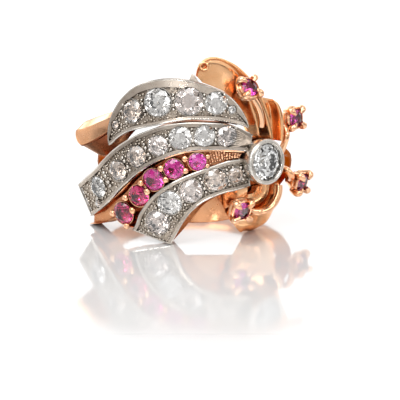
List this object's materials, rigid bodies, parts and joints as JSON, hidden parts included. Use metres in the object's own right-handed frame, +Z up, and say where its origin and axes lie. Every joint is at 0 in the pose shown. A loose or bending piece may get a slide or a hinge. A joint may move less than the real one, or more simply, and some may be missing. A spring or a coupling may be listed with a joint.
{
  "type": "ruby and diamond cocktail ring",
  "caption": "Retro cocktail ring in rose gold and platinum with a diamond-set leaf and ribbons, a ruby channel, a large diamond in a collar, gold loops and rubies on wires, lying on its side.",
  "frame": {"origin": "middle of the finger hole, on its axis, at the height of the band's middle", "axes": "+Z up as the ring rests on its side, with the finger hole leaning back 6 degrees from it; -Y towards the head's front; +X to the head's right, seen from the front"},
  "size_m": [0.0245, 0.0235, 0.0193],
  "materials": {
    "rose_gold": "polished, with soft wear",
    "platinum": "polished, with milgrain edges",
    "diamond": "old brilliant cut, clear",
    "ruby": "old brilliant cut, purplish red"
  },
  "bodies": {
    "root": {"shank": "rose_gold", "leaf_plate": "platinum", "upper_ribbon": "platinum", "upper_ribbon_base": "rose_gold", "lower_ribbon": "platinum", "lower_ribbon_base": "rose_gold", "ruby_channel": "rose_gold", "gold_bar": "rose_gold", "upper_loop": "rose_gold", "back_loop": "rose_gold", "lower_loop": "rose_gold", "bezel": "platinum", "centre_diamond": "diamond", "leaf_diamond_1": "diamond", "leaf_diamond_2": "diamond", "leaf_diamond_3": "diamond", "leaf_diamond_4": "diamond", "leaf_diamond_5": "diamond", "leaf_diamond_6": "diamond", "upper_ribbon_diamond_1": "diamond", "upper_ribbon_diamond_2": "diamond", "upper_ribbon_diamond_3": "diamond", "upper_ribbon_diamond_4": "diamond", "upper_ribbon_diamond_5": "diamond", "upper_ribbon_diamond_6": "diamond", "upper_ribbon_diamond_7": "diamond", "upper_ribbon_diamond_8": "diamond", "lower_ribbon_diamond_1": "diamond", "lower_ribbon_diamond_2": "diamond", "lower_ribbon_diamond_3": "diamond", "lower_ribbon_diamond_4": "diamond", "lower_ribbon_diamond_5": "diamond", "channel_ruby_1": "ruby", "channel_ruby_2": "ruby", "channel_ruby_3": "ruby", "channel_ruby_4": "ruby", "channel_ruby_5": "ruby", "stamen_1": "rose_gold", "stamen_2": "rose_gold", "stamen_3": "rose_gold", "stamen_4": "rose_gold", "stamen_ruby_1": "ruby", "stamen_ruby_2": "ruby", "stamen_ruby_3": "ruby", "stamen_ruby_4": "ruby"}
  },
  "joints": []
}
